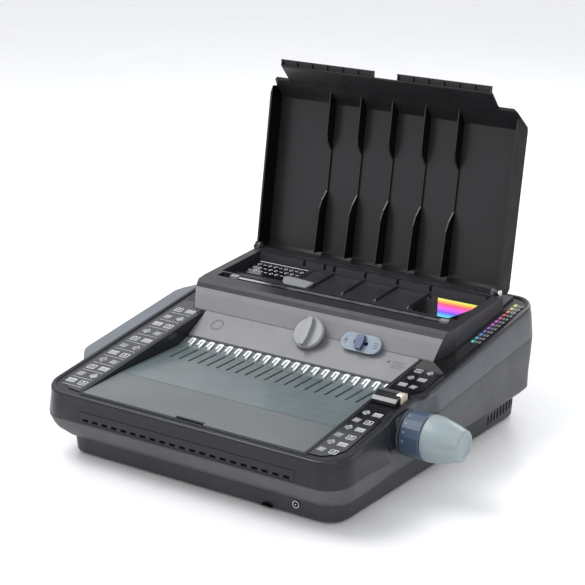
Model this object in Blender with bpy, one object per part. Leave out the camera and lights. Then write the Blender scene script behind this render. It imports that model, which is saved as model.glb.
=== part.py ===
"""Electric comb binding machine: housing, punch, comb opener and storage lid.

The machine frame is in millimetres: X to the right seen from the front, Y from the front
rim to the back, Z up from the table. Everything hangs on the empty "machine_frame",
which puts the middle of the machine's base on the world origin.
"""

import math

import bmesh
import bpy
from mathutils import Matrix
from mathutils import Vector

MM = 0.001
GAP = 0.3
WALL = 3.0

# Comb pattern: 21 fingers at 9/16 inch
FINGERS = 21
PITCH = 14.2875

# Housing outlines
SHIFT = -3.0
RIM_FRONT = -3.0
RIM_REAR = 447.0
RIM_Z0 = 88.0
RIM_SLOPE = 0.15
RIM_HALF = 211.0
RIM_HALF_REAR = 214.0
BELT_HALF = 215.0
SHOULDER_HALF = 240.0
RECESS_RIGHT = 204.3
PLINTH_HALF = 194.0
PLINTH_FRONT = 24.0
PLINTH_REAR = 445.0
PLINTH_TOP = 24.0
FOOT_HEIGHT = 3.7

# Work area
BAY_HALF = 158.0
BAY_FRONT = 8.0
BAY_REAR = 434.0
FLAP_SEAM = 79.0
FLAP_Z = 89.2
SEAM_Z = 93.5
DECK_BEND = 192.0
DECK_BEND_Z = 95.4
DECK_END = 208.0
DECK_END_Z = 101.5
CONSOLE_START = 212.0
CONSOLE_START_Z = 103.5
CONSOLE_TOP = 248.6
CONSOLE_TOP_Z = 124.6
PLATE = 2.5

# Top cover and lid
COVER_HALF = 184.0
COVER_FRONT = 249.3
COVER_EDGE = 269.0
COVER_EDGE_Z = 157.8
COVER_BACK = 398.0
COVER_BACK_Z = 167.4
TRAY_HALF = 174.0
TRAY_FRONT = 305.0
TRAY_BACK = 392.0
TRAY_DEPTH = 11.0
CLOSER_FRONT = 288.5
CLOSER_BACK = 302.0
HINGE_Y = 402.0
HINGE_Z = 168.7
LID_TILT = math.radians(9.5)
LID_X = -5.5
LID_HALF = 183.5
LID_DEPTH = 25.0
LID_CREASE = 200.0
LID_EDGE = 242.0
LIP_TOP = 251.0
LIP_HALF = 154.5
FIN_X = (-101.0, -54.0, -6.5, 42.0, 90.0)

# Drives
KNOB_Y = 145.0
KNOB_Z = 78.0
KNOB_END = 279.0
SHAFT_R = 5.0
PINION_R = 9.7
PINION_X = 120.0
PUNCH_Y = 275.0
CAM_Z = 120.0
CAM_SMALL = 12.2
CAM_RISE = 12.0
CAM_X = 60.0
BEAM_HALF = 147.0
BEAM_TOP = 106.6
MOTOR_Y = 350.0
MOTOR_Z = 120.0
BELT_X = 112.0
CAM_PULLEY_R = 11.0
MOTOR_PULLEY_R = 5.5
FRAME_X = 150.0
SEAM_TILT = math.radians(50.0)
SEAM_POINT = Vector((0.0, 249.0, 125.0))
DIAL = Vector((8.0, -2.25, -2.68))
SELECTOR_X = 80.0

# Side stations of the housing outlines and arc steps at their corners
SIDE_STATIONS = (62, 74, 85, 98, 105, 112, 122, 134, 156, 166, 173, 180, 190, 200, 240, 246, 288, 305,
                 322, 390)
CORNER_STEPS = 4
LID_BACK = HINGE_Y + LID_CREASE * math.sin(LID_TILT) + (LID_DEPTH + PLATE) * math.cos(LID_TILT)
CENTRE = Vector(((KNOB_END + SHIFT - SHOULDER_HALF) / 2, (LID_BACK - 4.0) / 2, 0.0))


DRAWER_Y0 = 230.0
DRAWER_Y1 = 350.0
DRAWER_Z0 = 8.0
DRAWER_Z1 = 25.0
DRAWER_END = -20.0
KEY_X0 = 163.5
KEY_SPLIT = 188.0
KEY_X1 = 195.5
KEY_Y0 = 134.0
KEY_Y1 = 165.5
LENS_Y0 = 145.5
LENS_Y1 = 160.0


# ---------------------------------------------------------------- tools

def clear_scene():
    for item in list(bpy.data.objects):
        bpy.data.objects.remove(item, do_unlink=True)


def make_frame():
    frame = bpy.data.objects.new("machine_frame", None)
    bpy.context.scene.collection.objects.link(frame)
    frame.location = -CENTRE * MM
    return frame


def plastic(name, colour, roughness=0.45, metallic=0.0):
    material = bpy.data.materials.new(name)
    material.use_nodes = True
    shader = material.node_tree.nodes["Principled BSDF"]
    shader.inputs["Base Color"].default_value = (*colour, 1.0)
    shader.inputs["Roughness"].default_value = roughness
    shader.inputs["Metallic"].default_value = metallic
    return material


def solid(name, points, faces, material, origin=(0, 0, 0), turn=None):
    """One object from points in millimetres, placed at origin, optionally turned."""
    mesh = bpy.data.meshes.new(name)
    mesh.from_pydata([Vector(p) * MM for p in points], [], faces)
    work = bmesh.new()
    work.from_mesh(mesh)
    bmesh.ops.recalc_face_normals(work, faces=work.faces)
    work.to_mesh(mesh)
    work.free()
    item = bpy.data.objects.new(name, mesh)
    bpy.context.scene.collection.objects.link(item)
    item.parent = FRAME
    item.matrix_local = Matrix.Translation(Vector(origin) * MM) @ (turn or Matrix())
    mesh.materials.append(material)
    return item


def prism_data(outline, axis, low, high):
    """Points and faces of a 2-D outline extruded along X, Y or Z."""
    order = {"X": lambda a, b, t: (t, a, b), "Y": lambda a, b, t: (a, t, b),
             "Z": lambda a, b, t: (a, b, t)}[axis]
    count = len(outline)
    points = [order(a, b, t) for t in (low, high) for a, b in outline]
    faces = [tuple(range(count)), tuple(range(count, 2 * count))]
    faces += [(i, (i + 1) % count, count + (i + 1) % count, count + i) for i in range(count)]
    return points, faces


def prism(name, outline, axis, low, high, material, origin=(0, 0, 0), turn=None):
    points, faces = prism_data(outline, axis, low, high)
    return solid(name, points, faces, material, origin, turn)


def box_data(x0, x1, y0, y1, z0, z1):
    return prism_data([(x0, y0), (x1, y0), (x1, y1), (x0, y1)], "Z", z0, z1)


def box(name, x0, x1, y0, y1, z0, z1, material, origin=(0, 0, 0), turn=None):
    return solid(name, *box_data(x0, x1, y0, y1, z0, z1), material, origin, turn)


def merged(pieces):
    """Several (points, faces) sets as one set."""
    points = []
    faces = []
    for piece_points, piece_faces in pieces:
        start = len(points)
        points += piece_points
        faces += [tuple(i + start for i in face) for face in piece_faces]
    return points, faces


def circle(radius, steps, centre=(0.0, 0.0), start=0.0):
    return [(centre[0] + radius * math.cos(start + math.tau * i / steps),
             centre[1] + radius * math.sin(start + math.tau * i / steps)) for i in range(steps)]


def lathe_data(profile, axis, steps, start=0.0):
    """Profile of (radius, distance along the axis) spun into a solid with flat ends."""
    order = {"X": lambda a, b, t: (t, a, b), "Y": lambda a, b, t: (a, t, b),
             "Z": lambda a, b, t: (a, b, t)}[axis]
    points = [order(a, b, t) for radius, t in profile for a, b in circle(radius, steps, start=start)]
    rows = len(profile)
    faces = [tuple(range(steps)), tuple(range((rows - 1) * steps, rows * steps))]
    for row in range(rows - 1):
        base = row * steps
        faces += [(base + i, base + (i + 1) % steps, base + steps + (i + 1) % steps, base + steps + i)
                  for i in range(steps)]
    return points, faces


def lathe(name, profile, axis, steps, material, origin=(0, 0, 0), turn=None):
    item = solid(name, *lathe_data(profile, axis, steps), material, origin, turn)
    smooth(item)
    return item


def smooth(item, angle=40.0):
    item.data.shade_smooth()
    item.data.set_sharp_from_angle(angle=math.radians(angle))


def tool(points, faces, origin=(0, 0, 0), turn=None):
    """A hidden cutter or addition for a Boolean."""
    item = solid("tool", points, faces, MAT["steel"], origin, turn)
    item.hide_render = True
    item.display_type = "WIRE"
    return item


def boolean(item, other, operation):
    step = item.modifiers.new(operation.lower(), "BOOLEAN")
    step.operation = operation
    step.object = other
    step.solver = "EXACT"


def cut(item, points, faces, origin=(0, 0, 0), turn=None):
    boolean(item, tool(points, faces, origin, turn), "DIFFERENCE")


def add(item, points, faces, origin=(0, 0, 0), turn=None):
    boolean(item, tool(points, faces, origin, turn), "UNION")


def ease(value, start, end):
    part = min(1.0, max(0.0, (value - start) / (end - start)))
    return part * part * (3.0 - 2.0 * part)


def rim_z(y):
    return RIM_Z0 + RIM_SLOPE * y


def outline_side(half, front, rear, front_radius, rear_radius):
    """Half outline seen from above, front to back; half is the half-width at a given y."""
    points = []
    for i in range(CORNER_STEPS + 1):
        angle = math.radians(-90.0 + 90.0 * i / CORNER_STEPS)
        points.append((half(front) - front_radius + front_radius * math.cos(angle),
                       front + front_radius + front_radius * math.sin(angle)))
    points += [(half(y), y) for y in SIDE_STATIONS]
    for i in range(CORNER_STEPS + 1):
        angle = math.radians(90.0 * i / CORNER_STEPS)
        points.append((half(rear) - rear_radius + rear_radius * math.cos(angle),
                       rear - rear_radius + rear_radius * math.sin(angle)))
    return points


def outline(half, front, rear, front_radius, rear_radius, centre=SHIFT):
    """Rounded outline seen from above; half(y, side) is the half-width on the side +1 or -1."""
    right = outline_side(lambda y: half(y, 1), front, rear, front_radius, rear_radius)
    left = outline_side(lambda y: half(y, -1), front, rear, front_radius, rear_radius)
    return [(centre + x, y) for x, y in right] + [(centre - x, y) for x, y in reversed(left)]


def ring(half, front, rear, front_radius, rear_radius, height, centre=SHIFT):
    return [(x, y, height(y)) for x, y in outline(half, front, rear, front_radius, rear_radius, centre)]


def ring_faces(rows, count, closed):
    faces = []
    for row in range(rows if closed else rows - 1):
        low = row * count
        high = ((row + 1) % rows) * count
        faces += [(low + i, low + (i + 1) % count, high + (i + 1) % count, high + i)
                  for i in range(count)]
    return faces


def closed_band(name, rings, material):
    """Shell whose rings of equal length follow its section all the way round."""
    count = len(rings[0])
    points = [point for row in rings for point in row]
    return solid(name, points, ring_faces(len(rings), count, True), material)


def tilted(point, tilt):
    """Placement on a slope: local X stays, local Y runs up the slope, local Z stands off it."""
    return Vector(point), Matrix.Rotation(tilt, 4, "X")


# ---------------------------------------------------------------- housing

def recess(y, side):
    """1 inside the knob recess in the right wall, 0 elsewhere."""
    return ease(y, 98, 112) * (1 - ease(y, 178, 200)) if side > 0 else 0.0


def flare(y, side):
    """1 where the left wall is widest, beside the work area."""
    return ease(y, 72, 112) * (1 - ease(y, 288, 322)) if side < 0 else 0.0


def behind_knob(y, side):
    return ease(y, 178, 200) if side > 0 else 0.0


def belt_half(y, side):
    body = BELT_HALF + (SHOULDER_HALF - BELT_HALF) * flare(y, side) + 3.0 * behind_knob(y, side)
    return body + (RECESS_RIGHT - SHIFT - 0.5 - body) * recess(y, side)


def belt_z(y):
    """Height of the seam between the two housings, low in front and climbing to the back."""
    front = 56.0 + 4.0 * ease(y, 0, 40) + 5.0 * ease(y, 80, 125)
    rear = 65.7 + 0.111 * y
    return front + (rear - front) * ease(y, 125, 195)


def rim_half(y, side):
    if side < 0:
        return RIM_HALF
    front = RIM_HALF - 4.0 * ease(y, 95, 120)
    return front + (RIM_HALF_REAR - front) * ease(y, 166, 180)


def shelf_half(y, side):
    """Half-width just under the rim, where the shoulder covers lie."""
    if side < 0:
        return RIM_HALF + 26.0 * flare(y, side)
    return rim_half(y, side) + 0.3 * (belt_half(y, side) - rim_half(y, side))


def waist_half(y, side):
    body = BELT_HALF - 3.0 + 20.0 * flare(y, side) + 2.0 * behind_knob(y, side)
    return body + (RECESS_RIGHT - SHIFT - 1.5 - body) * recess(y, side)


def inset(half, distance):
    return lambda y, side: half(y, side) - distance


def straight(half):
    return lambda y, side: half


def wall_foot(y):
    """Lower edge of the walls round the work area: deep in front, shallow behind the deck."""
    front = 85.0 + 28.0 * ease(y, 204, 240)
    return front + (rim_z(y) - 6.0 - front) * ease(y, 240, 300)


def bead_z(y):
    """Top of the bead round the work area, which sinks under the top cover."""
    return rim_z(y) - 1.6 * ease(y, 240, 246)


def make_upper_housing():
    front, rear = RIM_FRONT, RIM_REAR
    rings = [
        ring(belt_half, front - 1, rear + 3, 34, 34, belt_z),
        ring(shelf_half, front, rear, 32, 30, lambda y: rim_z(y) - 8.8),
        ring(rim_half, front, rear, 32, 30, lambda y: rim_z(y) - 5.6),
        ring(rim_half, front, rear, 32, 30, lambda y: rim_z(y) - 2.2),
        ring(inset(rim_half, 1.5), front + 1.5, rear - 1.5, 31, 29, rim_z),
        ring(inset(rim_half, 6), front + 4, rear - 6, 28, 25, rim_z),
        ring(inset(rim_half, 7), front + 5, rear - 7, 27, 24, lambda y: rim_z(y) - 1.6),
        ring(straight(BAY_HALF + 4.5), BAY_FRONT - 3, BAY_REAR + 2, 5, 6, lambda y: rim_z(y) - 1.6, 0),
        ring(straight(BAY_HALF + 3.9), BAY_FRONT - 2.4, BAY_REAR + 1.4, 4.4, 5.4, bead_z, 0),
        ring(straight(BAY_HALF), BAY_FRONT, BAY_REAR, 2, 4, bead_z, 0),
        ring(straight(BAY_HALF), BAY_FRONT, BAY_REAR, 2, 4, wall_foot, 0),
        ring(straight(BAY_HALF + PLATE), BAY_FRONT - 2.4, BAY_REAR + 2.4, 4, 6, wall_foot, 0),
        ring(straight(BAY_HALF + PLATE), BAY_FRONT - 2.4, BAY_REAR + 2.4, 4, 6, lambda y: rim_z(y) - 4.4, 0),
        ring(inset(rim_half, 4), front + WALL, rear - WALL, 30, 28, lambda y: rim_z(y) - 4.8),
        ring(inset(rim_half, 4), front + WALL, rear - WALL, 30, 28, lambda y: rim_z(y) - 8.4),
        ring(inset(shelf_half, 3.6), front + WALL, rear - WALL, 30, 28, lambda y: rim_z(y) - 12.0),
        ring(inset(belt_half, WALL), front - 1 + WALL, rear + 3 - WALL, 31, 31, belt_z),
    ]
    housing = closed_band("upper_housing", rings, MAT["charcoal"])
    cut(housing, *box_data(-153.5, 153.5, -20, RIM_FRONT + 1.0, 57.6, 71))
    cut(housing, *lathe_data([(9, 180), (9, 220)], "X", 20), origin=(0, KNOB_Y, KNOB_Z))
    cut(housing, *box_data(KEY_X0 - 0.4, KEY_X1 + 0.4, KEY_Y0 - 0.5, KEY_Y1 + 0.5, 90, 125))
    return housing


def make_lower_housing():
    low_z = lambda y: PLINTH_TOP + 7.0 * ease(y, 40, 445) + GAP
    bulge_z = lambda y: 33.0 + 12.0 * ease(y, 60, 230)
    waist_z = lambda y: 43.0 + 22.0 * ease(y, 60, 230)
    top_z = lambda y: belt_z(y) - GAP
    widest = lambda y, side: ease(y, 178, 230) if side > 0 else flare(y, side)
    bulge_half = lambda y, side: 205.0 + 8.0 * widest(y, side) - 3.0 * recess(y, side)
    plinth = straight(PLINTH_HALF)
    outer = [
        ring(plinth, PLINTH_FRONT, PLINTH_REAR, 24, 26, low_z),
        ring(bulge_half, 9, 447, 30, 28, bulge_z),
        ring(waist_half, -0.5, 449, 33, 32, waist_z),
        ring(belt_half, RIM_FRONT - 1, RIM_REAR + 3, 34, 34, top_z),
    ]
    inner = [
        ring(inset(belt_half, WALL), RIM_FRONT - 1 + WALL, RIM_REAR + 3 - WALL, 31, 31, top_z),
        ring(inset(waist_half, WALL), -0.5 + WALL, 449 - WALL, 30, 29, waist_z),
        ring(inset(bulge_half, WALL), 9 + WALL, 447 - WALL, 27, 25, lambda y: bulge_z(y) + 1.5),
        ring(inset(plinth, WALL), PLINTH_FRONT + WALL, PLINTH_REAR - WALL, 21, 23, low_z),
    ]
    housing = closed_band("lower_housing", outer + inner, MAT["dark_grey"])
    cut(housing, *lathe_data([(9, 180), (9, 220)], "X", 20), origin=(0, KNOB_Y, KNOB_Z))
    cut(housing, *box_data(-55, -7, 430, 460, 66, 96))
    cut(housing, *box_data(-92.5, -73.5, 430, 460, 77, 89))
    return housing


def make_base_pan():
    plinth = straight(PLINTH_HALF)
    top = lambda y: PLINTH_TOP + 7.0 * ease(y, 40, 445)
    inside = (inset(plinth, WALL), PLINTH_FRONT + WALL, PLINTH_REAR - WALL, 21, 23)
    rings = [
        ring(inset(plinth, 1.5), PLINTH_FRONT + 1.5, PLINTH_REAR - 1.5, 23, 25, lambda y: FOOT_HEIGHT + GAP),
        ring(plinth, PLINTH_FRONT, PLINTH_REAR, 24, 26, top),
        ring(*inside, top),
        ring(*inside, lambda y: FOOT_HEIGHT + GAP + PLATE),
    ]
    count = len(rings[0])
    points = [point for row in rings for point in row]
    faces = ring_faces(len(rings), count, False)
    faces += [tuple(range(count)), tuple(range(3 * count, 4 * count))]
    pan = solid("base_pan", points, faces, MAT["dark_grey"])
    slots = [box_data(180, 200, 361 + 7.8 * i, 365 + 7.8 * i, 10 + 0.6 * i, 22 + 0.8 * i) for i in range(10)]
    cut(pan, *merged(slots))
    cut(pan, *box_data(-210, -180, DRAWER_Y0 - 1, DRAWER_Y1 + 1, DRAWER_Z0 - 0.6, DRAWER_Z1 + 0.6))
    cut(pan, *lathe_data([(3.3, 0), (3.3, 20)], "Y", 16), origin=(137, 15, 17))
    cut(pan, *lathe_data([(9, 0), (9, 4)], "Y", 20), origin=(98, 22.5, 0))
    return pan


def make_feet():
    for side, x in (("left", -165), ("right", 160)):
        for end, y in (("front", 62), ("rear", 410)):
            lathe(f"foot_{end}_{side}", [(8, 0), (9, 1), (9, FOOT_HEIGHT)], "Z", 16, MAT["rubber"], (x, y, 0))


SHOULDER_STATIONS = (82, 90, 98, 105, 112, 150, 200, 250, 288, 298, 306, 314)


def make_shoulder():
    """Blue-grey cover on top of the wing that widens the left wall."""
    inner = RIM_HALF + GAP + 0.2
    sections = []
    for y in SHOULDER_STATIONS:
        z = rim_z(y)
        outer = inner + 24.5 * flare(y, -1)
        drop = 2.0 + 2.5 * flare(y, -1)
        sections.append([(inner, y, z - 2.0), (outer - 1, y, z - drop), (outer, y, z - drop - 1),
                         (outer, y, z - drop - 1.9), (outer - 2, y, z - drop - 1.9), (inner, y, z - 4.4)])
    count = len(sections[0])
    points = [(SHIFT - x, y, z) for row in sections for x, y, z in row]
    rows = len(sections)
    faces = [tuple(range(count)), tuple(range((rows - 1) * count, rows * count))]
    for row in range(rows - 1):
        base = row * count
        faces += [(base + i, base + (i + 1) % count, base + count + (i + 1) % count, base + count + i)
                  for i in range(count)]
    return solid("shoulder_cover", points, faces, MAT["blue_grey"])


def make_front_slot_panel():
    panel = box("front_slot_panel", -153, 153, -4.0, -2.3, 58, 70.6, MAT["charcoal"])
    slots = [box_data(x - 4.2, x + 4.2, -20, -3.1, 59.4, 62.6) for x in finger_positions()]
    cut(panel, *merged(slots))
    return panel


def finger_positions():
    return [(i - (FINGERS - 1) / 2) * PITCH for i in range(FINGERS)]


def sloped_plate(name, x0, x1, y0, y1, lift, thickness, material):
    """Flat plate lying parallel to the rim plane."""
    z0 = rim_z(y0) + lift
    z1 = rim_z(y1) + lift
    side = [(y0, z0 - thickness), (y1, z1 - thickness), (y1, z1), (y0, z0)]
    return prism(name, side, "X", x0, x1, material)


def make_strip(name, plan):
    """Thin glossy plate lying in the rim recess, cut to a plan."""
    y0 = min(y for _, y in plan)
    y1 = max(y for _, y in plan)
    strip = sloped_plate(name, min(x for x, _ in plan), max(x for x, _ in plan), y0, y1, -0.4, 0.9,
                         MAT["gloss_black"])
    boolean(strip, tool(*prism_data(plan, "Z", 60, 180)), "INTERSECT")
    return strip


def make_strips():
    corner = [(178, 248), (182.5, 256), (185.5, 262)]
    left = [(-163, 10), (-182, 12), (-194, 20), (-201, 34), (-201, 262)]
    left += [(-x, y) for x, y in reversed(corner)] + [(-163, 248)]
    make_strip("left_guide_strip", left)
    make_strip("right_guide_strip", [(163, 10), (178, 11), (189, 19), (196, 32), (196, 105), (193, 127), (163, 127)])
    rear = [(163, 248), (163, 172), (195, 172), (202, 184), (202, 422), (188.5, 422), (188.5, 290)]
    make_strip("right_colour_strip", rear + corner[::-1])


# ---------------------------------------------------------------- work area

def make_flap():
    z0 = FLAP_Z - SEAM_Z
    reach = BAY_FRONT + 1.2 - FLAP_SEAM
    side = [(reach, z0), (-0.4, 0), (-0.4, -2.2), (reach, z0 - 2.2)]
    flap = prism("deck_flap", side, "X", -157.4, 157.4, MAT["flap_grey"], (0, FLAP_SEAM, SEAM_Z))
    cut(flap, *box_data(-20, 20, reach - 5, reach + 5, -20, 20), origin=(0, FLAP_SEAM, SEAM_Z))
    return flap


def make_flap_bin():
    """Open storage bin under the flap."""
    bin_box = box("flap_bin", -150, 150, 6.5, 74, 62, 83, MAT["dark_grey"])
    cut(bin_box, *box_data(-148, 148, 8.5, 72, 64, 90))
    return bin_box


def make_deck():
    side = [(FLAP_SEAM + 0.4, SEAM_Z), (DECK_BEND, DECK_BEND_Z), (DECK_END, DECK_END_Z),
            (DECK_END, DECK_END_Z - PLATE), (DECK_BEND, DECK_BEND_Z - PLATE),
            (FLAP_SEAM + 0.4, SEAM_Z - PLATE)]
    deck = prism("comb_deck", side, "X", -157.5, 157.5, MAT["deck_green"])
    cut(deck, *merged([box_data(x + 1, x + 4.2, 152, 199, 85, 110) for x in finger_positions()]))
    return deck


def make_hooks():
    """Carrier bar with one bent finger standing through each deck slot, and two rack arms."""
    bar = box("hook_carrier", -151, 151, 190, 198, 81.5, 88, MAT["steel"])
    arms = [box_data(side * PINION_X - 5, side * PINION_X + 5, 126, 192, KNOB_Z + 10.2, KNOB_Z + 12.4)
            for side in (-1, 1)]
    links = [box_data(side * PINION_X - 5, side * PINION_X + 5, 190.5, 197.5, 87, KNOB_Z + 12.4)
             for side in (-1, 1)]
    for part in arms + links:
        add(bar, *part)
    slope = math.atan2(DECK_END_Z - DECK_BEND_Z, DECK_END - DECK_BEND)
    fingers = []
    for x in finger_positions():
        stem = box_data(x + 1.4, x + 3.8, 192.2, 195.2, 87, 98.6)
        shape = [(0.9, -2.4), (3.8, -2.4), (3.8, 11), (2.8, 12.2), (-2.8, 12.2), (-3.8, 11), (-3.8, 1.6),
                 (-0.9, 1.6), (-0.9, 9.2), (0.9, 9.2)]
        points, faces = prism_data(shape, "Z", 0, 1.8)
        move = Matrix.Translation((x, 194.6, 97.2)) @ Matrix.Rotation(slope, 4, "X")
        fingers.append(stem)
        fingers.append(([tuple(move @ Vector(p)) for p in points], faces))
    for group in (fingers[0::2], fingers[1::2]):
        add(bar, *merged(group))
    return bar


def make_console():
    side = [(CONSOLE_START, CONSOLE_START_Z), (CONSOLE_TOP, CONSOLE_TOP_Z),
            (CONSOLE_TOP, CONSOLE_TOP_Z - 3), (CONSOLE_START, CONSOLE_START_Z - 3)]
    console = prism("console_panel", side, "X", -157.5, 157.5, MAT["warm_grey"])
    cut_seam_holes(console)
    return console


def cut_seam_holes(item):
    place, turn = tilted(SEAM_POINT, SEAM_TILT)
    cut(item, *lathe_data([(7.4, -16), (7.4, 16)], "Z", 24), origin=place + DIAL, turn=turn)
    cut(item, *box_data(-14, 14, -4, 4, -16, 16), origin=place + Vector((SELECTOR_X, 0, 0)), turn=turn)


def make_dial():
    """Round control with a raised grip across it and a short shaft behind."""
    place, turn = tilted(SEAM_POINT + DIAL, SEAM_TILT)
    profile = [(7, -12), (7, 9.2), (19.5, 9.2), (20.5, 10.4), (20.5, 13.8), (19, 15.4)]
    dial = solid("margin_dial", *lathe_data(profile, "Z", 28), MAT["light_grey"], place, turn)
    grip = [(-3, -18), (3, -18), (5, -8), (5, 8), (3, 18), (-3, 18), (-5, 8), (-5, -8)]
    add(dial, *prism_data(grip, "Z", 13, 22), origin=place, turn=turn)
    return dial


def pill_outline(length, width, steps=6):
    half = (length - width) / 2
    points = []
    for centre, start in ((half, -90), (-half, 90)):
        for i in range(steps + 1):
            angle = math.radians(start + 180 * i / steps)
            points.append((centre + width / 2 * math.cos(angle), width / 2 * math.sin(angle)))
    return points


def make_selector():
    place, turn = tilted(SEAM_POINT + Vector((SELECTOR_X, 0, 0)), SEAM_TILT)
    plate = prism("selector_plate", pill_outline(56, 23), "Z", 5.6, 9.4, MAT["light_blue"], place, turn)
    cut(plate, *box_data(-10, 10, -2.2, 2.2, 0, 20), origin=place, turn=turn)
    thumb_shape = [(-4, -9), (4, -9), (5.5, -4), (5.5, 4), (4, 9), (-4, 9), (-5.5, 4), (-5.5, -4)]
    thumb = prism("selector_thumb", thumb_shape, "Z", 9.8, 15, MAT["deep_blue"], place, turn)
    add(thumb, *box_data(-3, 3, -1.8, 1.8, -8, 10.5), origin=place, turn=turn)
    return plate, thumb


# ---------------------------------------------------------------- top cover and tray

def cover_z(y):
    return COVER_EDGE_Z + (COVER_BACK_Z - COVER_EDGE_Z) * (y - COVER_EDGE) / (COVER_BACK - COVER_EDGE)


def make_top_cover():
    base = lambda y: rim_z(y) - 1.3
    side = [(COVER_FRONT, base(COVER_FRONT)), (COVER_FRONT, 125.6), (257, 143.5), (260.5, 150), (264, 154.8),
            (COVER_EDGE, COVER_EDGE_Z), (COVER_BACK, COVER_BACK_Z), (COVER_BACK, base(COVER_BACK))]
    cover = prism("top_cover", side, "X", -COVER_HALF - 2, COVER_HALF + 2, MAT["cover_grey"])
    plan = [(-186, 420), (-186, 284), (-184, 268), (-181, 258), (-176, 249), (176, 249), (181, 258),
            (184, 268), (186, 284), (186, 420)]
    boolean(cover, tool(*prism_data(plan, "Z", 100, 200)), "INTERSECT")
    inner = [(COVER_FRONT + 4, base(COVER_FRONT) - 20), (COVER_FRONT + 4, 126), (261, 144), (267, 153.2),
             (CLOSER_FRONT + 0.8, cover_z(CLOSER_FRONT) - 2.6), (CLOSER_BACK, cover_z(CLOSER_BACK) - 2.6),
             (CLOSER_BACK + 0.5, cover_z(CLOSER_BACK) - TRAY_DEPTH - PLATE),
             (COVER_BACK - 3, cover_z(COVER_BACK) - TRAY_DEPTH - PLATE), (COVER_BACK - 3, 120)]
    cut(cover, *prism_data(inner, "X", -173, 173))
    pocket = [(TRAY_FRONT, cover_z(TRAY_FRONT) - TRAY_DEPTH), (TRAY_BACK, cover_z(TRAY_BACK) - TRAY_DEPTH),
              (TRAY_BACK, 190), (TRAY_FRONT, 190)]
    cut(cover, *prism_data(pocket, "X", -TRAY_HALF, TRAY_HALF))
    cut(cover, *box_data(-170, 170, CLOSER_FRONT, CLOSER_BACK, 120, 190))
    shelf = [(COVER_BACK - 2, base(COVER_BACK - 2)), (437, base(437)), (437, base(437) + 3),
             (COVER_BACK - 2, base(COVER_BACK - 2) + 3)]
    add(cover, *prism_data(shelf, "X", -180, 180))
    floor = lambda y: cover_z(y) - TRAY_DEPTH
    low_wall = [(330, floor(330) - 1), (384, floor(384) - 1), (384, floor(384) + 3), (334, floor(334) + 2.6)]
    add(cover, *merged([prism_data(low_wall, "X", x - 0.8, x + 0.8) for x in FIN_X[1:]]))
    for side_sign in (-1, 1):
        add_ear(cover, side_sign)
    cut_seam_holes(cover)
    return cover


def add_ear(cover, side):
    """Hinge ear on the cover's rear corner, drilled for its pin."""
    ear = [(393, 160), (395, 168), (397.5, 172), (400, 174), (404, 174.2), (407, 172), (408, 168.7),
           (406.5, 163), (400, 155)]
    low, high = sorted((LID_X + side * 174.7, LID_X + side * 179.9))
    add(cover, *prism_data(ear, "X", low, high))
    cut(cover, *lathe_data([(2.8, -8), (2.8, 8)], "X", 16), origin=(LID_X + side * 177.5, HINGE_Y, HINGE_Z))
    if side > 0:
        cut(cover, *lathe_data([(6.8, 180.1), (6.8, 186.6)], "X", 24), origin=(LID_X, HINGE_Y, HINGE_Z))


def make_tray_fittings():
    floor = lambda y: cover_z(y) - TRAY_DEPTH + GAP
    ledge = [(385, floor(385)), (391.5, floor(391.5)), (391.5, cover_z(391.5) - 1.5), (387, cover_z(387) - 1.5)]
    rail = prism("tray_rear_ledge", ledge, "X", -173, 168.5, MAT["cover_grey"])
    notches = [box_data(x - 2, x + 2, 380, 400, cover_z(385) - 7.5, 190) for x in (*FIN_X, -69.0)]
    cut(rail, *merged(notches))
    for name, x0, x1, y0, y1 in (("size_chart", -170, -84, 336, 383), ("capacity_chart", 94, 170, 320, 383)):
        side = [(y0, floor(y0)), (y1, floor(y1)), (y1, floor(y1) + 0.8), (y0, floor(y0) + 0.8)]
        prism(name, side, "X", x0, x1, MAT["gloss_black"])


def make_gauge():
    """Sliding gauge: a pointed plate level with the tray's rim, on a foot that stands on its floor."""
    y0, y1 = 305.4, 334
    top = lambda y: cover_z(y) - 2.0
    side = [(y0, cover_z(y0) - TRAY_DEPTH + 0.4), (y0 + 2, cover_z(y0) - TRAY_DEPTH + 0.4),
            (y0 + 2, top(y0) - 1.6), (y1, top(y1) - 1.6), (y1, top(y1)), (y0, top(y0))]
    gauge = prism("gauge_slider", side, "X", -94, -48, MAT["light_grey"])
    plan = [(-94, 330), (-86, 316), (-72, 305), (-48, 305), (-48, 330), (-88, 335)]
    boolean(gauge, tool(*prism_data(plan, "Z", 140, 180)), "INTERSECT")
    return gauge


def make_closer():
    """Bar that presses wire loops shut, with its two arms below."""
    y0, y1 = 294.5, 300.5
    side = [(y0, cover_z(y0) - 9), (y1, cover_z(y1) - 9), (y1, cover_z(y1) - 1.2), (y0, cover_z(y0) - 1.2)]
    bar = prism("wire_closer_bar", side, "X", -142, 156, MAT["steel"])
    for x in (-130, 144):
        add(bar, *box_data(x - 3, x + 3, y0 + 1, y1 - 1, 138, 155))
    for name, x in (("left", -148), ("right", 162)):
        low = [(y0, cover_z(y0) - 8), (y1, cover_z(y1) - 8), (y1, cover_z(y1) + 0.4), (y0, cover_z(y0) + 0.4)]
        prism(f"closer_end_{name}", low, "X", x - 5.5, x + 5.5, MAT["light_grey"])
    return bar


# ---------------------------------------------------------------- lid

def lid_place():
    """Lid frame: X along the hinge, Z up the open lid, -Y towards the front."""
    return Vector((LID_X, HINGE_Y, HINGE_Z)), Matrix.Rotation(-LID_TILT, 4, "X")


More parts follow.
